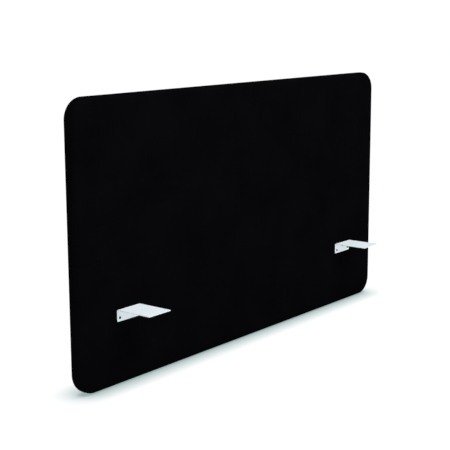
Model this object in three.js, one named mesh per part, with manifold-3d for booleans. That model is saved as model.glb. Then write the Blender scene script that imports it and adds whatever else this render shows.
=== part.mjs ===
// A desk privacy panel: an upholstered board with rounded corners, carried by two sheet-steel brackets
// that screw to the underside of a desk top.
//
// Millimetres. X runs along the panel, Y from its front face into it, Z up. The origin is the middle of
// the line where the desk top's underside meets the panel's front face.
import * as THREE from 'three';
import { mergeVertices } from 'three/addons/utils/BufferGeometryUtils.js';
import Module from 'manifold-3d';

const wasm = await Module();
wasm.setup();

// Panel
const PANEL_W = 1200;
const PANEL_H = 650;
const PANEL_T = 32;
const CORNER_R = 48; // of the outline, seen from the front
const EDGE_R = 10; // of the padded rim, between a face and the edge
const BELOW_DESK = 175; // from the desk top's underside down to the panel's bottom edge
const COVER_T = 0.7;
const PAD_T = 7;
const CORE_T = 16;
const LAYER_GAP = 0.15;
const CORE_INSET = 1.2; // how far the core's edge lies inside the outline

// Piping, along the middle of the edge
const PIPING_W = 2.4;
const PIPING_PROUD = 0.4;
const PIPING_DEPTH = 1; // how far its root lies inside the outline
const PIPING_GAP = 0.1;

// Brackets
const BRACKET_W = 72;
const PLATE_D = 97;
const FLANGE_H = 28;
const SHEET_T = 1.5;
const BEND_R = 3; // outer radius
const BRACKET_CORNER_R = 3;
const BRACKET_MARGIN = 118; // from the panel's end to the bracket
const FLANGE_HOLE_D = 3.4;
const FLANGE_HOLES = [[-28, -19.5], [0, -9.5], [28, -19.5]]; // [x from the bracket's middle, z]
const PLATE_HOLE_D = 4.5;
const PLATE_HOLES = [[-28, -84], [0, -44], [28, -84]]; // [x from the bracket's middle, y]

// M3 flanged button-head screws and the threaded inserts that take them
const SCREW_D = 3;
const SCREW_L = 16;
const HEAD_D = 6; // of the flange under the dome
const HEAD_FLANGE_H = 0.5;
const DOME_D = 5;
const HEAD_H = 1.65;
const HEAD_TOP_D = 3.4; // of the flat on top of the dome
const SOCKET_AF = 2; // across the flats of the hexagon
const SOCKET_DEPTH = 1;
const INSERT_D = 6.5;
const INSERT_L = 10;
const COLLAR_D = 8;
const COLLAR_H = 0.8;
const INSERT_HOLE_DEPTH = 12;
const FIT_GAP = 0.3; // between a piece and the hole that takes it

const ARC_STEPS = 12; // in a corner of the outline
const RIM_STEPS = 5; // in the rim's quarter round
const ROUND_STEPS = 20; // round a hole or a screw
const BEND_STEPS = 6;
const OVERCUT = 1; // how far a cutting solid runs past what it cuts

const HALF_W = PANEL_W / 2;
const MID_T = PANEL_T / 2;
const PAD_Y = COVER_T + LAYER_GAP;
const PAD_BACK_Y = PAD_Y + PAD_T;
const CORE_Y = PAD_BACK_Y + LAYER_GAP;
const BRACKET_X = HALF_W - BRACKET_MARGIN - BRACKET_W / 2;

// ---- Materials ---------------------------------------------------------------------------------

const material = (color, roughness, metalness = 0) =>
  new THREE.MeshStandardMaterial({ color, roughness, metalness });
const board = material(0xa98a63, 0.85);
const foam = material(0x3a3a3c, 1);
const fabric = material(0x0b0b0c, 0.95);
const whitePaint = material(0xe9ebee, 0.45);
const blackSteel = material(0x101011, 0.4, 0.9);
const brass = material(0xb5964f, 0.4, 1);

// ---- Solids ------------------------------------------------------------------------------------

// A closed geometry as a manifold-3d solid.
function solid(geometry) {
  const bare = geometry.clone();
  bare.deleteAttribute('normal');
  bare.deleteAttribute('uv');
  const merged = mergeVertices(bare, 1e-4);
  return new wasm.Manifold(new wasm.Mesh({
    numProp: 3,
    vertProperties: new Float32Array(merged.attributes.position.array),
    triVerts: new Uint32Array(merged.index.array),
  }));
}

// A manifold-3d solid as a geometry.
function geometryOf(made) {
  const mesh = made.getMesh();
  const geometry = new THREE.BufferGeometry();
  geometry.setAttribute('position', new THREE.BufferAttribute(mesh.vertProperties, 3));
  geometry.setIndex(new THREE.BufferAttribute(mesh.triVerts, 1));
  geometry.computeVertexNormals();
  return geometry;
}

// A round bar along Y, from y0 to y1.
function barY(diameter, x, z, y0, y1, steps = ROUND_STEPS) {
  return new THREE.CylinderGeometry(diameter / 2, diameter / 2, y1 - y0, steps)
    .translate(x, (y0 + y1) / 2, z);
}

// A round bar along Z, from z0 to z1.
function barZ(diameter, x, y, z0, z1) {
  return new THREE.CylinderGeometry(diameter / 2, diameter / 2, z1 - z0, ROUND_STEPS)
    .rotateX(Math.PI / 2)
    .translate(x, y, (z0 + z1) / 2);
}

// The panel's outline at depth y, moved in by inset, as points that run anticlockwise seen from the front.
function outline(y, inset) {
  const r = CORNER_R - inset;
  const cx = HALF_W - CORNER_R;
  const low = CORNER_R - BELOW_DESK;
  const high = PANEL_H - CORNER_R - BELOW_DESK;
  const corners = [[cx, high], [-cx, high], [-cx, low], [cx, low]];
  return corners.flatMap(([x, z], quarter) =>
    Array.from({ length: ARC_STEPS + 1 }, (_, k) => {
      const angle = (quarter + k / ARC_STEPS) * Math.PI / 2;
      return [x + r * Math.cos(angle), y, z + r * Math.sin(angle)];
    }));
}

// A skin through the outlines that profile's [y, inset] points give. A flat cap closes each end, or, as a
// ring, the skin runs on from its last outline to its first.
function loft(profile, ring = false) {
  const outlines = profile.map(([y, inset]) => outline(y, inset));
  const count = outlines[0].length;
  const index = [];
  const joins = ring ? outlines.length : outlines.length - 1;
  for (let j = 0; j < joins; j++) {
    const here = j * count;
    const next = ((j + 1) % outlines.length) * count;
    for (let k = 0; k < count; k++) {
      const k2 = (k + 1) % count;
      index.push(here + k, next + k, here + k2);
      index.push(here + k2, next + k, next + k2);
    }
  }
  if (!ring) {
    const last = (outlines.length - 1) * count;
    for (let k = 1; k < count - 1; k++) {
      index.push(0, k, k + 1);
      index.push(last, last + k + 1, last + k);
    }
  }
  const geometry = new THREE.BufferGeometry();
  geometry.setAttribute('position', new THREE.Float32BufferAttribute(outlines.flat(2), 3));
  geometry.setIndex(index);
  return geometry;
}

// A profile on the front half of the panel, carried to the back half.
const mirrored = (profile) => profile.map(([y, inset]) => [PANEL_T - y, inset]).reverse();

// The rounded rim in section, sunk by depth: [y, inset] points from the face to the depth backY, or to
// where the edge begins.
function rim(depth, backY = EDGE_R) {
  const r = EDGE_R - depth;
  const sweep = Math.acos((EDGE_R - backY) / r);
  return Array.from({ length: RIM_STEPS + 1 }, (_, k) => {
    const angle = k / RIM_STEPS * sweep;
    return [EDGE_R - r * Math.cos(angle), EDGE_R - r * Math.sin(angle)];
  });
}

// ---- The panel's layers ------------------------------------------------------------------------

const part = new THREE.Group();

function add(name, geometry, look) {
  const mesh = new THREE.Mesh(geometry, look);
  mesh.name = name;
  part.add(mesh);
  return mesh;
}

const sides = [['left', -BRACKET_X], ['right', BRACKET_X]];

// Every screw's place on the panel's front face.
const screwPlaces = sides.flatMap(([side, x0]) =>
  FLANGE_HOLES.map(([x, z], k) => ({ side, number: k + 1, x: x0 + x, z })));

// A layer with a round hole from y0 to y1 at each screw.
function drilled(layer, diameter, y0, y1) {
  return screwPlaces.reduce(
    (made, { x, z }) => made.subtract(solid(barY(diameter, x, z, y0, y1))),
    layer,
  );
}

// The board, with a blind hole for each insert and a wider recess for its collar.
function coreBoard() {
  const slab = solid(loft([[CORE_Y, CORE_INSET], [CORE_Y + CORE_T, CORE_INSET]]));
  const front = CORE_Y - OVERCUT;
  const bored = drilled(slab, INSERT_D + 2 * FIT_GAP, front, CORE_Y + INSERT_HOLE_DEPTH);
  return drilled(bored, COLLAR_D + 2 * FIT_GAP, front, CORE_Y + COLLAR_H + FIT_GAP);
}

// A cover in section: a thin skin from the face, round the rim, to the piping.
function coverProfile() {
  const edgeY = MID_T - PIPING_W / 2 - PIPING_GAP;
  return [...rim(0), [edgeY, 0], [edgeY, COVER_T], ...rim(COVER_T).reverse()];
}

// The piping in section: a strip with a rounded outer side.
function pipingProfile() {
  const half = PIPING_W / 2;
  return [
    [MID_T - half, PIPING_DEPTH],
    [MID_T - half, 0],
    [MID_T - half * 0.6, -PIPING_PROUD * 0.8],
    [MID_T, -PIPING_PROUD],
    [MID_T + half * 0.6, -PIPING_PROUD * 0.8],
    [MID_T + half, 0],
    [MID_T + half, PIPING_DEPTH],
  ];
}

const padProfile = rim(PAD_Y, PAD_BACK_Y);
const screwWay = SCREW_D + 2 * FIT_GAP;
const frontPad = drilled(solid(loft(padProfile)), screwWay, PAD_Y - OVERCUT, PAD_BACK_Y + OVERCUT);
const frontCover = drilled(solid(loft(coverProfile())), screwWay, -OVERCUT, COVER_T + OVERCUT);

add('core_board', geometryOf(coreBoard()), board);
add('front_padding', geometryOf(frontPad), foam);
add('back_padding', loft(mirrored(padProfile)), foam);
add('front_cover', geometryOf(frontCover), fabric);
add('back_cover', loft(mirrored(coverProfile())), fabric);
add('edge_piping', loft(pipingProfile(), true), fabric);

// ---- Brackets ----------------------------------------------------------------------------------

// The bent sheet in section, as [y, z]: the flange lies against the panel and the plate runs out from it.
function bracketSection() {
  const shape = new THREE.Shape();
  shape.moveTo(0, -FLANGE_H);
  shape.lineTo(0, -BEND_R);
  shape.absarc(-BEND_R, -BEND_R, BEND_R, 0, Math.PI / 2, false);
  shape.lineTo(-PLATE_D, 0);
  shape.lineTo(-PLATE_D, -SHEET_T);
  shape.lineTo(-BEND_R, -SHEET_T);
  shape.absarc(-BEND_R, -BEND_R, BEND_R - SHEET_T, Math.PI / 2, 0, true);
  shape.lineTo(-SHEET_T, -FLANGE_H);
  shape.closePath();
  return shape;
}

// A blank as wide as the bracket, from past the bend to far, with round corners at its far end.
function tongue(far) {
  const w = BRACKET_W / 2;
  const r = BRACKET_CORNER_R;
  const shape = new THREE.Shape();
  shape.moveTo(w, OVERCUT);
  shape.lineTo(-w, OVERCUT);
  shape.lineTo(-w, far + r);
  shape.absarc(-w + r, far + r, r, Math.PI, Math.PI * 1.5, false);
  shape.lineTo(w - r, far);
  shape.absarc(w - r, far + r, r, Math.PI * 1.5, Math.PI * 2, false);
  shape.closePath();
  return new THREE.ExtrudeGeometry(shape, {
    depth: BEND_R + OVERCUT,
    bevelEnabled: false,
    curveSegments: BEND_STEPS,
  });
}

function bracket() {
  const bent = new THREE.ExtrudeGeometry(bracketSection(), {
    depth: BRACKET_W,
    bevelEnabled: false,
    curveSegments: BEND_STEPS,
  });
  const alongX = new THREE.Matrix4().makeBasis(
    new THREE.Vector3(0, 1, 0),
    new THREE.Vector3(0, 0, 1),
    new THREE.Vector3(1, 0, 0),
  );
  bent.applyMatrix4(alongX).translate(-BRACKET_W / 2, 0, 0);
  const plateBlank = tongue(-PLATE_D).translate(0, 0, -BEND_R);
  const flangeBlank = tongue(-FLANGE_H).rotateX(Math.PI / 2).translate(0, OVERCUT, 0);
  let made = solid(bent).intersect(solid(plateBlank).add(solid(flangeBlank)));
  for (const [x, z] of FLANGE_HOLES) {
    made = made.subtract(solid(barY(FLANGE_HOLE_D, x, z, -BEND_R, OVERCUT)));
  }
  for (const [x, y] of PLATE_HOLES) {
    made = made.subtract(solid(barZ(PLATE_HOLE_D, x, y, -BEND_R, OVERCUT)));
  }
  return geometryOf(made);
}

const bracketGeometry = bracket();
for (const [side, x] of sides) {
  add(`${side}_bracket`, bracketGeometry, whitePaint).position.x = x;
}

// ---- Screws and inserts ------------------------------------------------------------------------

// A lathe shape about the Y axis, from [radius, y] points.
const turned = (points) =>
  new THREE.LatheGeometry(points.map(([r, y]) => new THREE.Vector2(r, y)), ROUND_STEPS);

// A screw that points along +Y, with its head's bearing face at y = 0 and a hexagon socket.
function screw() {
  const body = turned([
    [0, SCREW_L], [SCREW_D / 2, SCREW_L], [SCREW_D / 2, 0], [HEAD_D / 2, 0],
    [HEAD_D / 2, -HEAD_FLANGE_H], [DOME_D / 2, -HEAD_FLANGE_H], [DOME_D / 2 - 0.3, -HEAD_H * 0.65],
    [HEAD_TOP_D / 2, -HEAD_H], [0, -HEAD_H],
  ].reverse());
  const acrossCorners = 2 * SOCKET_AF / Math.sqrt(3);
  const socket = barY(acrossCorners, 0, 0, -HEAD_H - OVERCUT, -HEAD_H + SOCKET_DEPTH, 6);
  return geometryOf(solid(body).subtract(solid(socket)));
}

// A threaded insert with its collar at y = 0, running along +Y.
function insert() {
  const bore = SCREW_D / 2 + FIT_GAP;
  return turned([
    [bore, 0], [COLLAR_D / 2, 0], [COLLAR_D / 2, COLLAR_H], [INSERT_D / 2, COLLAR_H],
    [INSERT_D / 2, INSERT_L], [bore, INSERT_L], [bore, 0],
  ]);
}

const screwGeometry = screw();
const insertGeometry = insert();
for (const { side, number, x, z } of screwPlaces) {
  add(`${side}_screw_${number}`, screwGeometry, blackSteel).position.set(x, -SHEET_T, z);
  add(`${side}_insert_${number}`, insertGeometry, brass).position.set(x, CORE_Y, z);
}

export default part;
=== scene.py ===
"""A desk privacy panel: an upholstered board on two white angle brackets, standing on a white floor."""
import math

import bmesh
import bpy
import numpy as np
from mathutils import Euler, Matrix, Vector


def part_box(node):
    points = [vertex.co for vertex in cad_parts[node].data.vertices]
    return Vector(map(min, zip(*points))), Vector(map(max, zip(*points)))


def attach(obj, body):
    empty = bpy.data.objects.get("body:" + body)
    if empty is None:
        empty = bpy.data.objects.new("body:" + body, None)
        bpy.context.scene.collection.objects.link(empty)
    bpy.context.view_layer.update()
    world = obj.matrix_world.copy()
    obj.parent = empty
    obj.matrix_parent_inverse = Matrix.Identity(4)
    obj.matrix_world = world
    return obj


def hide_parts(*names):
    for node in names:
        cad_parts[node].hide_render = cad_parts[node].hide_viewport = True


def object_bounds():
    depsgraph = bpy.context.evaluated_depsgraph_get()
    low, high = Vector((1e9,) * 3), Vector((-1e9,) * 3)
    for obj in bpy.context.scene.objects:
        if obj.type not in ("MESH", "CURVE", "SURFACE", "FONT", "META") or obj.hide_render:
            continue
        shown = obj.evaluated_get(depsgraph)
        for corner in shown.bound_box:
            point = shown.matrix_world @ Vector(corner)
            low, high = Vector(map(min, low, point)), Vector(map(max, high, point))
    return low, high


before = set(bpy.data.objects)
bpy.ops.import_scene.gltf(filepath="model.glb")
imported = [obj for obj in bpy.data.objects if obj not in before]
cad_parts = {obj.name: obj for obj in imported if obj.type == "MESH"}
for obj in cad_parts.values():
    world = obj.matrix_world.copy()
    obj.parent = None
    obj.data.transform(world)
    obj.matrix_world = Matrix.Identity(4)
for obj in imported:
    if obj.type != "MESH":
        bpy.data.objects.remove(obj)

cad_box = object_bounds()
scene = bpy.context.scene
MM = 0.001

# ---- The panel's sizes ---------------------------------------------------------------------------

front_low, front_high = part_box("front_cover")
FACE_Y = front_low.y
BACK_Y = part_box("back_cover")[1].y
CORE_FACE_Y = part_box("core_board")[0].y
MID_Y = (FACE_Y + BACK_Y) / 2
PANEL_CENTRE_Z = (front_low.z + front_high.z) / 2
HALF_W = front_high.x
HALF_H = front_high.z - PANEL_CENTRE_Z
CORNER_R = 48 * MM
EDGE_R = 10 * MM  # of the padded rim
COVER_T = 0.7 * MM
PIPING_R = 1.2 * MM
PIPING_PROUD = 0.4 * MM
SHEET_T = 1.5 * MM  # of the brackets
BEND_R = 3 * MM  # of their bend, on the outside
SIDES = ("left", "right")
SCREW_NUMBERS = (1, 2, 3)  # the same for their inserts


# ---- Small helpers -------------------------------------------------------------------------------

def mesh_object(name, points, faces):
    """A new object in the scene from arrays or lists of points and faces."""
    mesh = bpy.data.meshes.new(name)
    mesh.from_pydata([tuple(map(float, p)) for p in points], [], [tuple(map(int, f)) for f in faces])
    mesh.validate()
    made = bpy.data.objects.new(name, mesh)
    scene.collection.objects.link(made)
    return made


def smooth(piece, angle=None):
    """Smooth shading, with edges sharper than angle, in degrees, left hard."""
    mesh = piece.data
    mesh.polygons.foreach_set("use_smooth", [True] * len(mesh.polygons))
    if angle is not None:
        mesh.set_sharp_from_angle(angle=math.radians(angle))
    mesh.update()


def settle(piece, material, slot, *nodes):
    """Gives a piece its material, hangs it under the root body and hides the CAD nodes that it stands for.
    slot is not used.
    """
    piece.data.materials.clear()
    piece.data.materials.append(material)
    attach(piece, "root")
    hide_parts(*nodes)
    return piece


class Nodes:
    """Builds one material's node tree around its Principled shader."""

    def __init__(self, name, **constants):
        self.material = bpy.data.materials.new(name)
        self.material.use_nodes = True
        self.tree = self.material.node_tree
        self.shader = self.tree.nodes["Principled BSDF"]
        for socket, value in constants.items():
            self.shader.inputs[socket.replace("_", " ")].default_value = value

    def add(self, kind, inputs=None, output=0, **settings):
        """One output of a new node, whose inputs are given as values or as other nodes' outputs."""
        node = self.tree.nodes.new("ShaderNode" + kind)
        for key, value in settings.items():
            setattr(node, key, value)
        for key, value in (inputs or {}).items():
            if isinstance(value, bpy.types.NodeSocket):
                self.tree.links.new(value, node.inputs[key])
            else:
                node.inputs[key].default_value = value
        return node.outputs[output]

    def math(self, operation, a, b=0.0, c=0.0):
        return self.add("Math", {0: a, 1: b, 2: c}, operation=operation)

    def spread(self, value, low, high, from_low=0.0, from_high=1.0):
        """value carried from one range to another."""
        return self.add("MapRange", {"Value": value, "From Min": from_low, "From Max": from_high,
                                     "To Min": low, "To Max": high})

    def parts(self, vector):
        """The X, Y and Z outputs of a vector."""
        return self.add("SeparateXYZ", {0: vector}).node.outputs

    def noise(self, vector, scale, detail=2.0, roughness=0.5):
        return self.add("TexNoise", {"Vector": vector, "Scale": scale, "Detail": detail,
                                     "Roughness": roughness})

    def stretched(self, vector, x, y, z):
        return self.add("VectorMath", {0: vector, 1: (x, y, z)}, operation="MULTIPLY")

    def place(self):
        """The point on the piece, in metres."""
        return self.add("TexCoord", output=3)

    def between(self, low, high, share):
        """A colour between two, by share."""
        return self.add("Mix", {0: share, 6: (*low, 1), 7: (*high, 1)}, output=2, data_type="RGBA")

    def bump(self, height, depth, strength=1.0):
        return self.add("Bump", {"Height": height, "Distance": depth, "Strength": strength})

    def set(self, **sockets):
        """Links sockets of the shader, and returns the finished material."""
        for name, value in sockets.items():
            self.tree.links.new(value, self.shader.inputs[name.replace("_", " ")])
        return self.material


# ---- Materials -----------------------------------------------------------------------------------

CONTACT_REACH = 64 * MM  # how far the floor's contact shadow runs out
DEEPEST_SHADE = 0.42  # what is left of the floor's glow right under the panel's edge
PUCKER_PITCH = 7 * MM  # from one small pucker to the next along the seams
PUCKER_REACH = 4.5 * MM  # how far from the seam they fade
PUCKER_DEPTH = 0.35 * MM


def woven(name, pitch, dark, light, puckered=False):
    """Matt black plain weave, with painted shade in the gaps between its threads. pitch is the distance from
    thread to thread. Where puckered, it is drawn into small puckers beside its seam."""
    n = Nodes(name, Specular_IOR_Level=0.0)
    flat = n.add("UVMap", uv_map="Cut")
    flat_x, flat_y, _ = n.parts(flat)
    wander = n.noise(flat, 60, 2)
    across = n.math("MULTIPLY_ADD", wander, 0.35, n.math("DIVIDE", flat_x, pitch))
    along = n.math("MULTIPLY_ADD", wander, 0.35, n.math("DIVIDE", flat_y, pitch))
    warp = n.math("SINE", n.math("MULTIPLY", n.math("FRACT", across), math.pi))
    weft = n.math("SINE", n.math("MULTIPLY", n.math("FRACT", along), math.pi))
    parity = n.math("FLOORED_MODULO", n.math("ADD", n.math("FLOOR", across), n.math("FLOOR", along)), 2.0)
    # Where parity is 1 the warp thread lies on top, and elsewhere the weft.
    over = n.add("Mix", {0: parity, 2: weft, 3: warp}, data_type="FLOAT")
    under = n.add("Mix", {0: parity, 2: warp, 3: weft}, data_type="FLOAT")
    height = n.math("MULTIPLY", n.math("POWER", over, 0.5), n.math("MULTIPLY_ADD", under, 0.45, 0.55))
    warp_streak = n.noise(n.stretched(flat, 900, 14, 1), 1, 2)
    weft_streak = n.noise(n.stretched(flat, 14, 900, 1), 1, 2)
    streak = n.add("Mix", {0: parity, 2: weft_streak, 3: warp_streak}, data_type="FLOAT")
    cloud = n.noise(flat, 7, 3)
    fuzz = n.noise(flat, 2200, 3, 0.7)
    # Painted shade: the threads' height is mixed into the colour, so the crowns are lighter and the gaps
    # between threads darker. streak and cloud are the yarn's real tone.
    tone = n.math("MULTIPLY_ADD", n.spread(streak, 0, 1, 0.3, 0.7), 0.5,
                  n.math("MULTIPLY_ADD", n.spread(cloud, 0, 1, 0.35, 0.65), 0.2,
                         n.math("MULTIPLY", height, 0.3)))
    relief = n.math("MULTIPLY_ADD", fuzz, 0.35, height)
    threads = n.bump(relief, 0.22 * pitch, 0.7)
    if puckered:
        seam_along, seam_away, _ = n.parts(n.add("UVMap", uv_map="Edge"))
        uneven = n.noise(flat, 55, 2)
        turns = n.math("MULTIPLY", seam_along, 2 * math.pi / PUCKER_PITCH)
        phase = n.math("MULTIPLY_ADD", uneven, 3.0, turns)
        fading = n.math("EXPONENT", n.math("DIVIDE", seam_away, -PUCKER_REACH))
        pucker = n.math("MULTIPLY", n.math("MULTIPLY_ADD", n.math("SINE", phase), 0.5, 0.5), fading)
        n.tree.links.new(n.bump(pucker, PUCKER_DEPTH), threads.node.inputs["Normal"])
    return n.set(Base_Color=n.between(dark, light, tone), Roughness=n.spread(fuzz, 0.84, 0.98),
                 Normal=threads)


def foam(name):
    """Open-celled grey foam, with painted shade in the pits of its cells."""
    n = Nodes(name, Specular_IOR_Level=0.2)
    cells = n.add("TexVoronoi", {"Vector": n.place(), "Scale": 900.0}, feature="F1")
    cloud = n.noise(n.place(), 30, 3)
    # Painted shade: the cells' pits, low in the bump, are also painted darker. cloud is the foam's real
    # mottling.
    tone = n.math("MULTIPLY_ADD", cloud, 0.5, n.math("MULTIPLY", cells, 0.6))
    return n.set(Base_Color=n.between((0.035, 0.036, 0.038), (0.11, 0.11, 0.115), tone),
                 Roughness=n.spread(cloud, 0.9, 1.0), Normal=n.bump(cells, 0.4 * MM, 0.8))


def fibreboard(name):
    """Raw fibreboard: fine flecks, with layers that run along its faces."""
    n = Nodes(name, Specular_IOR_Level=0.3)
    place = n.place()
    flecks = n.noise(n.stretched(place, 1, 3, 1), 420, 5, 0.7)
    layers = n.noise(n.stretched(place, 6, 700, 6), 1, 3)
    cloud = n.noise(place, 9, 3)
    tone = n.math("MULTIPLY_ADD", flecks, 0.6,
                  n.math("MULTIPLY_ADD", layers, 0.25, n.math("MULTIPLY", cloud, 0.3)))
    return n.set(Base_Color=n.between((0.27, 0.17, 0.09), (0.5, 0.36, 0.22), tone),
                 Roughness=n.spread(flecks, 0.75, 0.95), Normal=n.bump(flecks, 0.15 * MM, 0.6))


def powder_coat(name):
    """Matt white powder coat, very slightly cool, with a fine orange-peel surface."""
    n = Nodes(name, Specular_IOR_Level=0.0)
    place = n.place()
    peel = n.noise(place, 700, 2, 0.45)
    grain = n.noise(place, 4200, 2)
    cloud = n.noise(place, 26, 3)
    return n.set(Base_Color=n.between((0.735, 0.805, 0.842), (0.785, 0.855, 0.893), cloud),
                 Roughness=n.math("MULTIPLY_ADD", grain, 0.12, n.spread(cloud, 0.48, 0.56)),
                 Normal=n.bump(n.math("MULTIPLY_ADD", grain, 0.2, peel), 0.05 * MM, 0.5))


def black_oxide(name):
    """Blackened steel, a little oily."""
    n = Nodes(name, Metallic=0.3, Specular_IOR_Level=0.12)
    place = n.place()
    grain = n.noise(place, 2600, 4, 0.6)
    cloud = n.noise(place, 350, 3)
    return n.set(Base_Color=n.between((0.002, 0.002, 0.0025), (0.007, 0.007, 0.008), cloud),
                 Roughness=n.spread(grain, 0.38, 0.58), Normal=n.bump(grain, 0.02 * MM, 0.5))


def turned_brass(name):
    """Brass with fine turning marks round the axis, which runs along Y."""
    n = Nodes(name, Metallic=1.0)
    place = n.place()
    marks = n.noise(n.stretched(place, 300, 9000, 300), 1, 3)
    cloud = n.noise(place, 240, 3)
    return n.set(Base_Color=n.between((0.48, 0.34, 0.13), (0.68, 0.51, 0.24), cloud),
                 Roughness=n.spread(marks, 0.24, 0.42), Normal=n.bump(marks, 0.02 * MM, 0.5))


def pale_floor(name):
    """A white studio floor that glows evenly, with a painted contact shadow: its glow darkens, a little cool,
    only close round what stands on it."""
    n = Nodes(name, Roughness=0.9, Specular_IOR_Level=0.0, Emission_Strength=0.99)
    # Painted contact shadow: the floor's glow is scaled by ambient occlusion within CONTACT_REACH, never
    # below DEEPEST_SHADE.
    occlusion = n.add("AmbientOcclusion", {"Distance": CONTACT_REACH}, output=1, samples=16)
    open_share = n.math("MAXIMUM", occlusion, DEEPEST_SHADE)
    # The painted shadow's red falls faster, which makes it a little cool.
    red_share = n.math("POWER", open_share, 1.3)
    glow = n.add("CombineColor", {0: red_share, 1: open_share, 2: open_share})
    return n.set(Base_Color=n.between((0.06, 0.06, 0.06), (0.08, 0.08, 0.08), n.noise(n.place(), 3, 2)),
                 Emission_Color=glow)


# ---- The panel's skin ----------------------------------------------------------------------------

INNER_X = HALF_W - CORNER_R  # half the rectangle between the corners' centres
INNER_Z = HALF_H - CORNER_R
GRID_STEP = 14 * MM  # the widest step between grid lines
CORNER_STEPS = 24
FACE_INSETS = (48, 39, 31.5, 25, 19.5, 15, 12)  # mm in from the edge: the rings round the flat of the face
RIM_STEPS = 8
TURN_STEPS = 4
RIM_RING = len(FACE_INSETS)  # the first ring of the padded rim
EDGE_RING = RIM_RING + RIM_STEPS  # the ring on the flat of the edge
SEAM_GAP = 0.1 * MM  # between a cover and the piping
SEAM_Y = MID_Y - FACE_Y - PIPING_R - SEAM_GAP  # where a cover turns in beside the piping
TURN_R = 0.9 * MM  # of that turn
PRESSED_MARGIN = 0.6 * MM  # the cloth stays pressed flat this far past a flange
PIERCED = 2.0 * MM  # half the width of the hole in the cloth and the foam at each screw


def flange(side):
    """(left, right, foot, top) of the flat of a bracket's flange, against the panel."""
    low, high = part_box(side + "_bracket")
    return low.x, high.x, low.z, high.z - BEND_R


def grid_lines(reach, edges, centres):
    """Grid lines from -reach to reach, with closer ones just outside each (low, high) pair of edges, and one
    either side of each of the screws' centres."""
    near = (PRESSED_MARGIN, 3 * MM, 7 * MM, 13 * MM)
    stops = {-reach, reach}
    for low, high in edges:
        stops.update(low - d for d in near)
        stops.update(high + d for d in near)
    for centre in centres:
        stops.update((centre - PIERCED, centre + PIERCED))
    stops = sorted(stops)
    lines = [stops[0]]
    for start, end in zip(stops, stops[1:]):
        steps = math.ceil((end - start) / GRID_STEP)
        lines.extend(start + (end - start) * (k + 1) / steps for k in range(steps))
    return np.array(lines)


def screw_place(side, number):
    """(x, z) of a screw's axis."""
    low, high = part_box(f"{side}_screw_{number}")
    return (low.x + high.x) / 2, (low.z + high.z) / 2


FLANGES = [flange(side) for side in SIDES]
SCREWS = [screw_place(side, number) for side in SIDES for number in SCREW_NUMBERS]
LINES_X = grid_lines(INNER_X, [(left, right) for left, right, _, _ in FLANGES], {x for x, _ in SCREWS})
LINES_Z = grid_lines(INNER_Z,  # the flanges are at one height, so the first stands for both
                     [(foot - PANEL_CENTRE_Z, top - PANEL_CENTRE_Z) for _, _, foot, top in FLANGES[:1]],
                     {round(z - PANEL_CENTRE_Z, 6) for _, z in SCREWS})


def stations(lines_x, lines_z, corner_steps):
    """Places round the outline, anticlockwise seen from the front: the nearest point (x, z) of the inner
    rectangle, and the way (x, z) out from it."""
    places = []
    runs = [
        (lines_z[:-1], lambda v: (INNER_X, v)),
        (lines_x[:0:-1], lambda v: (v, INNER_Z)),
        (lines_z[:0:-1], lambda v: (-INNER_X, v)),
        (lines_x[:-1], lambda v: (v, -INNER_Z)),
    ]
    corners = [(1, 1), (-1, 1), (-1, -1), (1, -1)]
    for side, ((run, place), (sx, sz)) in enumerate(zip(runs, corners)):
        way = side * math.pi / 2
        places.extend((*place(v), math.cos(way), math.sin(way)) for v in run)
        for k in range(corner_steps):
            angle = way + k / corner_steps * math.pi / 2
            places.append((sx * INNER_X, sz * INNER_Z, math.cos(angle), math.sin(angle)))
    return np.array(places)


def rim_profile():
    """A cover in section as (inset, y) from the corners' centres out to the seam: the face, the padded rim,
    the edge, and the turn-in beside the piping."""
    face = [(inset * MM, 0.0) for inset in FACE_INSETS]
    rim = [(EDGE_R * (1 - math.sin(a)), EDGE_R * (1 - math.cos(a)))
           for a in np.linspace(0, math.pi / 2, RIM_STEPS)]
    edge = [(0.0, (EDGE_R + SEAM_Y - TURN_R) / 2)]
    turn = [(TURN_R * (1 - math.cos(a)), SEAM_Y - TURN_R * (1 - math.sin(a)))
            for a in np.linspace(0, math.pi / 2, TURN_STEPS)]
    return np.array(face + rim + edge + turn)


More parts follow.
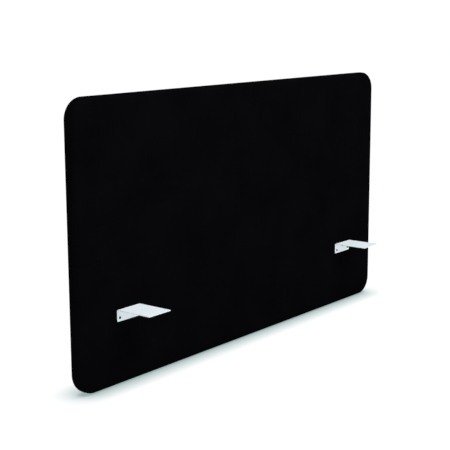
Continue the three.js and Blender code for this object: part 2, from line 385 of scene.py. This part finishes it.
class Skin:
    """The front cover's outer surface before it is stretched: a grid in the middle, and rings round it. Each
    point has its place, its place in the flat cut, how far it is along and from the seam, and its ring."""

    def __init__(self):
        self.around = stations(LINES_X, LINES_Z, CORNER_STEPS)
        self.profile = rim_profile()
        self.points, self.faces, self.cut, self.edge_map, self.ring = [], [], [], [], []
        self.lay_middle()
        self.lay_rings()
        self.points = np.array(self.points) + [0, FACE_Y, PANEL_CENTRE_Z]
        self.cut = np.array(self.cut)
        self.edge_map = np.array(self.edge_map)
        self.ring = np.array(self.ring)

    def put(self, point, cut, edge, ring):
        """Adds a point, and returns its number."""
        self.points.append(point)
        self.cut.append(cut)
        self.edge_map.append(edge)
        self.ring.append(ring)
        return len(self.points) - 1

    def front_faces(self):
        """The faces, less those that a screw's axis goes through the middle of."""
        screws = np.array(SCREWS)
        kept = []
        for f in self.faces:
            x, _, z = self.points[list(f)].mean(0)
            if np.hypot(screws[:, 0] - x, screws[:, 1] - z).min() > PIERCED / 2:
                kept.append(f)
        return kept

    def lay_middle(self):
        """The grid on the flat of the face."""
        far = (0.0, CORNER_R + EDGE_R)  # well past the puckers' reach
        self.grid = {(i, j): self.put((x, 0.0, z), (x, z), far, 0)
                     for i, x in enumerate(LINES_X) for j, z in enumerate(LINES_Z)}
        g = self.grid
        self.faces = [(g[i, j], g[i + 1, j], g[i + 1, j + 1], g[i, j + 1])
                      for i in range(len(LINES_X) - 1) for j in range(len(LINES_Z) - 1)]

    def lay_rings(self):
        """The rings from the grid's border out to the seam."""
        previous = [self.grid[int(np.argmin(abs(LINES_X - x))), int(np.argmin(abs(LINES_Z - z)))]
                    for x, z, _, _ in self.around]
        steps = np.linalg.norm(np.diff(self.profile, axis=0), axis=1)
        lengths = np.concatenate([[0], np.cumsum(steps)])
        outer = self.around[:, :2] + self.around[:, 2:] * CORNER_R
        along = np.concatenate([[0], np.cumsum(np.linalg.norm(np.diff(outer, axis=0), axis=1))])
        total = along[-1] + np.linalg.norm(outer[0] - outer[-1])
        self.round_length = round(total / PUCKER_PITCH) * PUCKER_PITCH
        along *= self.round_length / total
        count = len(self.around)
        for r in range(1, len(self.profile)):
            inset, y = self.profile[r]
            reach, length = CORNER_R - inset, lengths[r]
            ring = [self.put((x + nx * reach, y, z + nz * reach), (x + nx * length, z + nz * length),
                             (along[k], lengths[-1] - length), r)
                    for k, (x, z, nx, nz) in enumerate(self.around)]
            for k in range(count):
                k2 = (k + 1) % count
                corner = [previous[k], ring[k], ring[k2], previous[k2]]
                if previous[k] == previous[k2]:
                    corner.pop()
                self.faces.append(tuple(corner))
            previous = ring
        self.seam_length = lengths[-1]


def normals_of(points, faces):
    """Unit normals at the points of a surface."""
    normals = np.zeros_like(points)
    for f in faces:
        a, b, c = points[list(f[:3])]
        normals[list(f)] += np.cross(b - a, c - a)
    return normals / np.linalg.norm(normals, axis=1, keepdims=True)


def pressed_share(points):
    """For each point, 1 under a bracket's flange, falling to 0 a little way outside it."""
    share = np.zeros(len(points))
    fade = 11 * MM
    for left, right, foot, top in FLANGES:
        dx = np.maximum(0, np.maximum(left - points[:, 0], points[:, 0] - right) - PRESSED_MARGIN)
        dz = np.maximum(0, np.maximum(foot - points[:, 2], points[:, 2] - top) - PRESSED_MARGIN)
        away = np.hypot(dx, dz) / fade
        share = np.maximum(share, np.where(away < 1e-3, 1.0, np.exp(-(away * 2) ** 1.3)))
    return share


SWELL = 0.8 * MM  # the most that the padding pushes a cover past its flat shape
FOAM_PUSH = 3.5 * MM  # the foam's own push, which the tight cloth can't undo at the rim
UNDER_FLANGE = 0.08 * MM  # how far the flanges sink into the flat shape
CLOTH_FRAMES = 14


def simulated(points, faces, held):
    """The surface after a short cloth simulation, in which the padding presses it out and held pins it."""
    sheet = mesh_object("cloth_test", points, faces)
    group = sheet.vertex_groups.new(name="held")
    for i in np.nonzero(held > 0)[0]:
        group.add([int(i)], float(held[i]), "REPLACE")
    cloth = sheet.modifiers.new("cloth", "CLOTH")
    settings = cloth.settings
    settings.quality = 6
    settings.mass = 0.25
    settings.tension_stiffness = 60
    settings.compression_stiffness = 60
    settings.shear_stiffness = 30
    settings.bending_stiffness = 4
    settings.vertex_group_mass = "held"
    settings.use_pressure = True
    settings.uniform_pressure_force = 4
    settings.effector_weights.gravity = 0
    cloth.collision_settings.use_collision = False
    cloth.point_cache.frame_start = 1
    cloth.point_cache.frame_end = CLOTH_FRAMES
    for frame_number in range(1, CLOTH_FRAMES + 1):
        scene.frame_set(frame_number)
    moved = sheet.evaluated_get(bpy.context.evaluated_depsgraph_get()).to_mesh()
    result = np.zeros(len(points) * 3, np.float32)
    moved.vertices.foreach_get("co", result)
    bpy.data.objects.remove(sheet)
    scene.frame_set(1)
    return result.reshape(-1, 3).astype(float)


def stretched(skin, pressed):
    """The skin's points once it is stretched over its padding."""
    normals = normals_of(skin.points, skin.faces)
    held = np.where(skin.ring >= EDGE_RING, 1.0, 0.0)
    held = np.maximum(held, np.where(pressed > 0.99, 1.0, 0.0))
    push = ((simulated(skin.points, skin.faces, held) - skin.points) * normals).sum(1)
    near_rim = np.clip((skin.ring - 1) / (EDGE_RING - 1), 0, 1)
    loose = (1 - near_rim ** 2) * (1 - pressed)
    push = np.maximum(push, FOAM_PUSH)
    swell = SWELL * np.tanh(push / (3 * SWELL)) * loose - UNDER_FLANGE * pressed
    return skin.points + normals * swell[:, None], normals


GATHER_DEPTH = 0.09 * MM
WAVER_DEPTH = 0.12 * MM


def gathered(skin, points, normals, seed):
    """Small gathers where the cloth is pulled round the corners of the rim, and a slight waver along it."""
    draw = np.random.default_rng(seed)
    count = len(skin.around)
    turning = np.abs(skin.around[:, 2] * skin.around[:, 3]) > 1e-6
    fold = np.where(np.arange(count) % 2 == 0, 1.0, -1.0) * draw.uniform(0.4, 1.0, count)
    waver = np.convolve(np.tile(draw.normal(0, 1, count), 3), np.ones(9) / 9, "same")[count:2 * count]
    depth = GATHER_DEPTH * fold * turning + WAVER_DEPTH * waver
    first = len(skin.points) - count * (len(skin.profile) - 1)
    rings = range(RIM_RING, EDGE_RING + 2)
    for r in rings:
        share = (r - RIM_RING + 1) / len(rings)
        here = slice(first + (r - 1) * count, first + r * count)
        points[here] += normals[here] * (depth * math.sin(share * math.pi * 0.9))[:, None]
    return points


def carry_map(piece, name, values):
    """A UV map whose value at each corner is its point's value."""
    layer = piece.data.uv_layers.new(name=name)
    corners = np.zeros(len(piece.data.loops), np.int32)
    piece.data.loops.foreach_get("vertex_index", corners)
    layer.data.foreach_set("uv", values[corners].astype(np.float32).ravel())


def close_round(piece, name, total):
    """Makes a map that counts round the outline run on to total where its end meets its start."""
    layer = piece.data.uv_layers[name]
    for polygon in piece.data.polygons:
        corners = [layer.data[k] for k in polygon.loop_indices]
        if max(c.uv[0] for c in corners) > 0.9 * total:
            for c in corners:
                if c.uv[0] < 0.1 * total:
                    c.uv[0] = total


def to_back(points):
    """Points on the front half carried to the back half."""
    mirrored = points.copy()
    mirrored[:, 1] = 2 * MID_Y - mirrored[:, 1]
    return mirrored


def cover(side, skin, points, material, back=False):
    """One half of the cover, with its flat cut. Only the front one is pierced by the screws."""
    faces = [f[::-1] for f in skin.faces] if back else skin.front_faces()
    piece = mesh_object(side + "_cover_cloth", to_back(points) if back else points, faces)
    carry_map(piece, "Cut", skin.cut)
    carry_map(piece, "Edge", skin.edge_map)
    close_round(piece, "Edge", skin.round_length)
    smooth(piece)
    finer = piece.modifiers.new("finer", "SUBSURF")
    finer.levels = finer.render_levels = 1
    thick = piece.modifiers.new("thickness", "SOLIDIFY")
    thick.thickness = COVER_T
    thick.offset = -1
    thick.use_even_offset = False
    settle(piece, material, "cover", side + "_cover")
    return piece


PAD_GAP = 0.22 * MM  # between the foam and what it lies against
THINNEST_FOAM = 0.4 * MM  # a pad ends where it would be thinner


def padding(side, skin, points, normals, material, back=False):
    """Foam that fills the space between a cover and the core."""
    flat_y = CORE_FACE_Y - PAD_GAP
    inner = points - normals * (COVER_T + PAD_GAP)
    last = max(r for r in range(len(skin.profile))
               if inner[skin.ring == r, 1].max() < flat_y - THINNEST_FOAM)
    kept = skin.ring <= last
    new_index = np.cumsum(kept) - 1
    front = inner[kept]
    behind = front.copy()
    behind[:, 1] = flat_y
    count = len(front)
    laid = skin.faces if back else skin.front_faces()
    faces = [tuple(new_index[list(f)]) for f in laid if kept[list(f)].all()]
    edges = dict.fromkeys(pair for f in faces for pair in zip(f, f[1:] + f[:1]))
    rim = [(a, b) for a, b in edges if (b, a) not in edges]
    faces += [tuple(i + count for i in f[::-1]) for f in faces]
    faces += [(b, a, a + count, b + count) for a, b in rim]
    both = np.concatenate([front, behind])
    if back:
        both = to_back(both)
        faces = [f[::-1] for f in faces]
    piece = mesh_object(side + "_foam", both, faces)
    smooth(piece, 40)
    settle(piece, material, "padding", side + "_padding")
    return piece


# ---- Piping --------------------------------------------------------------------------------------

PIPING_ROOT = 0.3 * MM  # how deep the cord goes past its widest, to its flat side on the board
PIPING_STEP = 2.2 * MM
PIPING_SIDES = 12
PIPING_RIPPLE = 0.015  # share of its radius that its cloth's folds take off
RIPPLE_PITCH = 9 * MM


def piping(material):
    """A round cord in its own bias-cut cloth, let into the seam all round the edge."""
    fine_x = np.linspace(-INNER_X, INNER_X, round(2 * INNER_X / PIPING_STEP) + 1)
    fine_z = np.linspace(-INNER_Z, INNER_Z, round(2 * INNER_Z / PIPING_STEP) + 1)
    around = stations(fine_x, fine_z, round(CORNER_R * math.pi / 2 / PIPING_STEP))
    count = len(around)
    reach = CORNER_R + PIPING_PROUD - PIPING_R
    centre = around[:, :2] + around[:, 2:] * reach
    along = np.concatenate([[0], np.cumsum(np.linalg.norm(np.diff(centre, axis=0), axis=1))])
    total = along[-1] + np.linalg.norm(centre[0] - centre[-1])
    waves = round(total / RIPPLE_PITCH)
    points = []
    for k in range(count):
        for s in range(PIPING_SIDES):
            turn = 2 * math.pi * s / PIPING_SIDES
            fold = math.sin(2 * math.pi * waves * along[k] / total + 2 * turn)
            r = PIPING_R * (1 - PIPING_RIPPLE * (1 - fold))
            out = reach + max(r * math.cos(turn), -PIPING_ROOT)
            x, z = around[k, :2] + around[k, 2:] * out
            points.append((x, MID_Y + r * math.sin(turn), z + PANEL_CENTRE_Z))
    faces, cut = [], []
    lengths = np.append(along, total)
    for k in range(count):
        for s in range(PIPING_SIDES):
            a, b = k * PIPING_SIDES, (k + 1) % count * PIPING_SIDES
            s2 = (s + 1) % PIPING_SIDES
            faces.append((a + s, a + s2, b + s2, b + s))
            turns = [2 * math.pi * v / PIPING_SIDES * PIPING_R for v in (s, s + 1)]
            cut.extend((lengths[i] + turns[j], lengths[i] - turns[j])
                       for i, j in ((k, 0), (k, 1), (k + 1, 1), (k + 1, 0)))
    piece = mesh_object("edge_piping_cord", points, faces)
    bias = piece.data.uv_layers.new(name="Cut")
    bias.data.foreach_set("uv", (np.array(cut) * math.sqrt(0.5)).astype(np.float32).ravel())
    smooth(piece)
    return settle(piece, material, "piping", "edge_piping")


# ---- Brackets ------------------------------------------------------------------------------------

BRACKET_CORNER_R = 3 * MM
BEND_MIDDLE_R = BEND_R - SHEET_T / 2  # of the bend, in the middle of the sheet
BEND_LENGTH = BEND_MIDDLE_R * math.pi / 2  # that the bend takes of the flat sheet
BEND_STEPS = 12
HEM_R = 0.3 * MM  # the softened edge of the coated sheet
FLANGE_HOLE_R = 1.7 * MM
PLATE_HOLE_R = 2.25 * MM
PLATE_HOLES = [(-28 * MM, 84 * MM), (0, 44 * MM), (28 * MM, 84 * MM)]  # (across, out from the panel)


def ring_2d(curve, points):
    """Adds a closed outline to a flat curve."""
    spline = curve.splines.new("POLY")
    spline.points.add(len(points) - 1)
    for target, (x, y) in zip(spline.points, points):
        target.co = (x, y, 0, 1)
    spline.use_cyclic_u = True


def circle_2d(x, y, r, steps=40):
    return [(x + r * math.cos(a), y + r * math.sin(a))
            for a in np.linspace(0, 2 * math.pi, steps, endpoint=False)]


def round_rectangle(half_width, length, r, steps=8):
    """Half a width either side of x = 0, and from y = 0 to length."""
    centres = [(half_width - r, length - r), (r - half_width, length - r), (r - half_width, r),
               (half_width - r, r)]
    return [(x + r * math.cos(a), y + r * math.sin(a))
            for quarter, (x, y) in enumerate(centres)
            for a in np.linspace(quarter, quarter + 1, steps + 1) * math.pi / 2]


def flat_blank(name, half_width, flange_flat, plate_flat, flange_holes):
    """The bracket's sheet before it is bent, with its holes and softened edges: x across it, y from the
    flange's foot to the plate's end, and z through it."""
    curve = bpy.data.curves.new(name, "CURVE")
    curve.dimensions = "2D"
    curve.fill_mode = "BOTH"
    curve.extrude = SHEET_T / 2 - HEM_R
    curve.bevel_depth = HEM_R
    curve.bevel_resolution = 3
    curve.offset = -HEM_R
    flat_length = flange_flat + BEND_LENGTH + plate_flat
    ring_2d(curve, round_rectangle(half_width, flat_length, BRACKET_CORNER_R))
    for x, up in flange_holes:
        ring_2d(curve, circle_2d(x, up, FLANGE_HOLE_R))
    for x, out in PLATE_HOLES:
        ring_2d(curve, circle_2d(x, flange_flat + BEND_LENGTH + out - BEND_R, PLATE_HOLE_R))
    blank = bpy.data.objects.new(name, curve)
    scene.collection.objects.link(blank)
    mesh = bpy.data.meshes.new_from_object(blank.evaluated_get(bpy.context.evaluated_depsgraph_get()))
    bpy.data.objects.remove(blank)
    return mesh


def bend(mesh, flange_flat, middle_x, foot_z):
    """Bends a flat blank to a right angle, and sets it against the panel with its foot at foot_z."""
    bm = bmesh.new()
    bm.from_mesh(mesh)
    bmesh.ops.remove_doubles(bm, verts=bm.verts, dist=1e-6)
    for k in range(BEND_STEPS + 1):
        bmesh.ops.bisect_plane(bm, geom=[*bm.verts, *bm.edges, *bm.faces], dist=1e-7,
                               plane_co=(0, flange_flat + BEND_LENGTH * k / BEND_STEPS, 0),
                               plane_no=(0, 1, 0))
    for v in bm.verts:
        x, s, w = v.co
        if s <= flange_flat:
            y, z = -SHEET_T / 2 + w, foot_z + s
        elif s <= flange_flat + BEND_LENGTH:
            angle = (s - flange_flat) / BEND_MIDDLE_R
            r = BEND_MIDDLE_R + w
            y, z = -BEND_R + r * math.cos(angle), -BEND_R + r * math.sin(angle)
        else:
            y, z = -BEND_R - (s - flange_flat - BEND_LENGTH), -SHEET_T / 2 + w
        v.co = (middle_x + x, y, z)
    bmesh.ops.recalc_face_normals(bm, faces=bm.faces)
    if bm.calc_volume(signed=True) < 0:
        bmesh.ops.reverse_faces(bm, faces=bm.faces)
    bm.to_mesh(mesh)
    bm.free()


def bracket(side, material):
    """Cut flat, then bent."""
    low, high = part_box(side + "_bracket")
    middle_x = (low.x + high.x) / 2
    flange_flat = high.z - low.z - BEND_R
    plate_flat = high.y - low.y - BEND_R
    holes = [(x - middle_x, z - low.z) for x, z in (screw_place(side, number) for number in SCREW_NUMBERS)]
    mesh = flat_blank(side + "_blank", (high.x - low.x) / 2, flange_flat, plate_flat, holes)
    bend(mesh, flange_flat, middle_x, low.z)
    piece = bpy.data.objects.new(side + "_bent_bracket", mesh)
    scene.collection.objects.link(piece)
    smooth(piece, 35)
    even = piece.modifiers.new("even_shading", "WEIGHTED_NORMAL")
    even.keep_sharp = True
    return settle(piece, material, "bracket", side + "_bracket")


# ---- Screws and inserts --------------------------------------------------------------------------

ROUND = 24  # steps round a screw or an insert
SCREW_R = 1.5 * MM
THREAD_PITCH = 0.5 * MM
THREAD_DEPTH = 0.28 * MM
THREAD_START = 1.0 * MM  # under the head
POINT_L = 0.45 * MM  # of the cone at the screw's end
SOCKET_ACROSS = 2.0 * MM
SOCKET_DEPTH = 1.0 * MM
CROWN_R = 1.6 * MM  # of the flat on top of the head
DOME_R = 2.45 * MM
HEAD_FLANGE_H = 0.5 * MM
REAM_R = SCREW_R + 0.06 * MM  # of the insert's bore, which leaves the screw its play
BODY_R = 3.25 * MM  # of an insert, over its coarse thread
COLLAR_H = 0.8 * MM
COARSE_PITCH = 2.0 * MM
COARSE_DEPTH = 0.55 * MM
CHAMFER = 0.15 * MM  # of its collar


def thread(angle, y, start, end):
    """How far an M3 thread's flank lies under its crest, fading out at both ends."""
    phase = (y / THREAD_PITCH - angle / (2 * math.pi)) % 1
    depth = THREAD_DEPTH * (1 - abs(2 * phase - 1))
    fade = THREAD_PITCH
    return depth * min(1, max(0, (y - start) / fade), max(0, (end - y) / fade))


def turned(name, rings, centre, closed=False):
    """A shape about the Y axis from rings of (radius, y), where a radius may be a function of the angle. It
    is closed at its ends, or runs from its last ring back to its first."""
    points, faces = [], []
    angles = [2 * math.pi * k / ROUND for k in range(ROUND)]
    for radius, y in rings:
        for a in angles:
            r = radius(a) if callable(radius) else radius
            points.append((centre[0] + r * math.cos(a), centre[1] + y, centre[2] - r * math.sin(a)))
    joins = len(rings) if closed else len(rings) - 1
    for i in range(joins):
        here, there = i * ROUND, (i + 1) % len(rings) * ROUND
        for k in range(ROUND):
            k2 = (k + 1) % ROUND
            faces.append((here + k, here + k2, there + k2, there + k))
    if not closed:
        last = (len(rings) - 1) * ROUND
        faces.append(tuple(range(ROUND))[::-1])
        faces.append(tuple(range(last, last + ROUND)))
    return mesh_object(name, points, faces)


def hexagon(across_flats):
    """The radius of a hexagon at an angle."""
    return lambda a: across_flats / 2 / math.cos((a + math.pi / 6) % (math.pi / 3) - math.pi / 6)


def shank_radius(angle, y, length):
    """The radius of a screw's threaded shank, which ends in a point."""
    point = max(0, y - length + POINT_L)
    return SCREW_R - max(thread(angle, y, THREAD_START, math.inf), point)


def screw(side, number, material):
    """A flanged button head with a hexagon socket, and a shank threaded to its point. Y is 0 where the head
    meets the shank."""
    low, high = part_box(f"{side}_screw_{number}")
    top = low.y + SHEET_T
    rim_r = (high.x - low.x) / 2
    length = high.y + SHEET_T
    socket = hexagon(SOCKET_ACROSS)
    floor_y = top + SOCKET_DEPTH
    rings = [(0.15 * MM, floor_y + 0.2 * MM), (lambda a: socket(a) * 0.9, floor_y),
             (socket, floor_y - 0.05 * MM), (socket, top + 0.12 * MM),
             (1.27 * MM, top + 0.02 * MM), (1.36 * MM, top), (CROWN_R, top)]
    rings += [(CROWN_R + (DOME_R - CROWN_R) * math.sin(a), top - (top + HEAD_FLANGE_H) * (1 - math.cos(a)))
              for a in np.linspace(0.2, math.pi / 2, 8)]
    flange_top = -HEAD_FLANGE_H
    rings += [(DOME_R + 0.08 * MM, flange_top + 0.06 * MM), (DOME_R + 0.2 * MM, flange_top + 0.08 * MM),
              (rim_r - 0.12 * MM, flange_top + 0.12 * MM), (rim_r - 0.03 * MM, flange_top + 0.18 * MM),
              (rim_r, flange_top + 0.28 * MM), (rim_r, -0.1 * MM), (rim_r - 0.06 * MM, -0.02 * MM),
              (rim_r - 0.15 * MM, 0.0), (SCREW_R + 0.15 * MM, 0.0), (SCREW_R, 0.15 * MM)]
    for y in np.linspace(THREAD_START, length, round((length - THREAD_START) / (THREAD_PITCH / 5))):
        rings.append((lambda a, y=y: shank_radius(a, y, length), y))
    centre = ((low.x + high.x) / 2, -SHEET_T, (low.z + high.z) / 2)
    piece = turned(f"{side}_flange_screw_{number}", rings, centre)
    smooth(piece, 38)
    return settle(piece, material, "screw", f"{side}_screw_{number}")


def coarse_radius(angle, y, start, end):
    """The radius of an insert's outer thread, fading out at both ends."""
    phase = (y / COARSE_PITCH - angle / (2 * math.pi)) % 1
    crest = max(0.0, 1 - abs(2 * phase - 1) * 1.6)
    ends = min(1, max(0, (y - start) / MM), max(0, (end - y) / MM))
    return BODY_R - COARSE_DEPTH * (1 - crest * ends)


def insert(side, number, material):
    """Brass, with a coarse thread outside for the board and a fine one inside that fits the screw's. Y is 0
    at its collar's face."""
    low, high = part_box(f"{side}_insert_{number}")
    length = high.y - low.y
    collar_r = (high.x - low.x) / 2
    rings = [(REAM_R + 0.25 * MM, 0.0), (collar_r - CHAMFER, 0.0), (collar_r, CHAMFER),
             (collar_r, COLLAR_H - CHAMFER), (collar_r - CHAMFER, COLLAR_H),
             (BODY_R - COARSE_DEPTH, COLLAR_H)]
    begin, stop = COLLAR_H + 0.2 * MM, length - 0.3 * MM
    for y in np.linspace(begin, stop, 48):
        rings.append((lambda a, y=y: coarse_radius(a, y, begin, stop), y))
    rings += [(BODY_R - COARSE_DEPTH - 0.2 * MM, length), (REAM_R + 0.2 * MM, length)]
    start, end = 0.3 * MM, length - 0.3 * MM
    to_screw = low.y + SHEET_T  # from the screw's zero to the insert's, so that their threads are in step
    for y in np.linspace(end, start, round((end - start) / (THREAD_PITCH / 5))):
        rings.append((lambda a, y=y: REAM_R - thread(a, y + to_screw, start + to_screw, end + to_screw), y))
    centre = ((low.x + high.x) / 2, low.y, (low.z + high.z) / 2)
    piece = turned(f"{side}_brass_insert_{number}", rings, centre, closed=True)
    smooth(piece, 38)
    return settle(piece, material, "insert", f"{side}_insert_{number}")


# ---- The object ----------------------------------------------------------------------------------

cloth = woven("black_weave", 1.1 * MM, (0.0005, 0.0005, 0.0007), (0.0034, 0.0034, 0.0044), puckered=True)
cord_cloth = woven("black_piping_weave", 0.8 * MM, (0.0005, 0.0005, 0.0007), (0.0038, 0.0038, 0.0048))
grey_foam = foam("grey_foam")

the_skin = Skin()
under_flange = pressed_share(the_skin.points)
front_points, skin_normals = stretched(the_skin, under_flange)
back_points, _ = stretched(the_skin, np.zeros(len(the_skin.points)))
padding("front", the_skin, front_points, skin_normals, grey_foam)
padding("back", the_skin, back_points, skin_normals, grey_foam, back=True)
front_points = gathered(the_skin, front_points, skin_normals, 11)
back_points = gathered(the_skin, back_points, skin_normals, 12)
cover("front", the_skin, front_points, cloth)
cover("back", the_skin, back_points, cloth, back=True)
piping(cord_cloth)

coat = powder_coat("white_powder_coat")
oxide = black_oxide("black_oxide")
brass = turned_brass("turned_brass")
for side in SIDES:
    bracket(side, coat)
    for number in SCREW_NUMBERS:
        screw(side, number, oxide)
        insert(side, number, brass)

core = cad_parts["core_board"]
core.material_slots[0].material = fibreboard("raw_fibreboard")

# ---- Floor, light and camera ---------------------------------------------------------------------

FLOOR_Z = cad_box[0].z
FLOOR_REACH = 30.0
ROOM_DIMS = (0.2, 0.45)  # the sines of the elevations between which the room dims

floor_corners = [(x * FLOOR_REACH, y * FLOOR_REACH, FLOOR_Z) for x, y in ((-1, -1), (1, -1), (1, 1), (-1, 1))]
floor = mesh_object("floor", floor_corners, [(0, 1, 2, 3)])
floor.data.materials.append(pale_floor("pale_floor"))


def studio(name, around, overhead):
    """A white room, with its strength all around and overhead."""
    world = bpy.data.worlds.new(name)
    world.use_nodes = True
    nodes, links = world.node_tree.nodes, world.node_tree.links
    split = nodes.new("ShaderNodeSeparateXYZ")
    links.new(nodes.new("ShaderNodeTexCoord").outputs["Generated"], split.inputs[0])
    fall = nodes.new("ShaderNodeMapRange")
    values = {"From Min": ROOM_DIMS[0], "From Max": ROOM_DIMS[1], "To Min": around, "To Max": overhead}
    for socket, value in values.items():
        fall.inputs[socket].default_value = value
    links.new(split.outputs["Z"], fall.inputs["Value"])
    background = nodes["Background"]
    background.inputs["Color"].default_value = (1.0, 1.0, 1.0, 1)
    links.new(fall.outputs[0], background.inputs["Strength"])
    scene.world = world


def softbox(name, place, aim, size_x, size_y, power):
    """A rectangular lamp at place, turned to aim."""
    lamp = bpy.data.lights.new(name, "AREA")
    lamp.shape = "RECTANGLE"
    lamp.size = size_x
    lamp.size_y = size_y
    lamp.energy = power
    holder = bpy.data.objects.new(name, lamp)
    holder.location = place
    holder.rotation_euler = (Vector(aim) - Vector(place)).to_track_quat("-Z", "Y").to_euler()
    scene.collection.objects.link(holder)


studio("studio", around=1.2, overhead=0.15)
softbox("overhead", place=(-0.1, -1.1, 2.4), aim=(0, -0.05, 0), size_x=3.0, size_y=1.0, power=76)

CAMERA_PLACE = (-2.2151, -1.6733, 0.6532)
CAMERA_HEADING = 51.744  # degrees to the right of straight into the panel
CAMERA_DOWN = 10.922
CAMERA_ROLL = -0.249
LENS = 89.33  # focal length in mm, with SENSOR mm across the picture
SENSOR = 36
lens = bpy.data.cameras.new("camera")
lens.lens = LENS
lens.sensor_width = SENSOR
camera = bpy.data.objects.new("camera", lens)
camera.location = CAMERA_PLACE
level = Euler((math.radians(90 - CAMERA_DOWN), 0, math.radians(-CAMERA_HEADING))).to_matrix()
camera.rotation_euler = (level @ Matrix.Rotation(math.radians(CAMERA_ROLL), 3, "Z")).to_euler()
scene.collection.objects.link(camera)
scene.camera = camera
scene.view_settings.view_transform = "Standard"
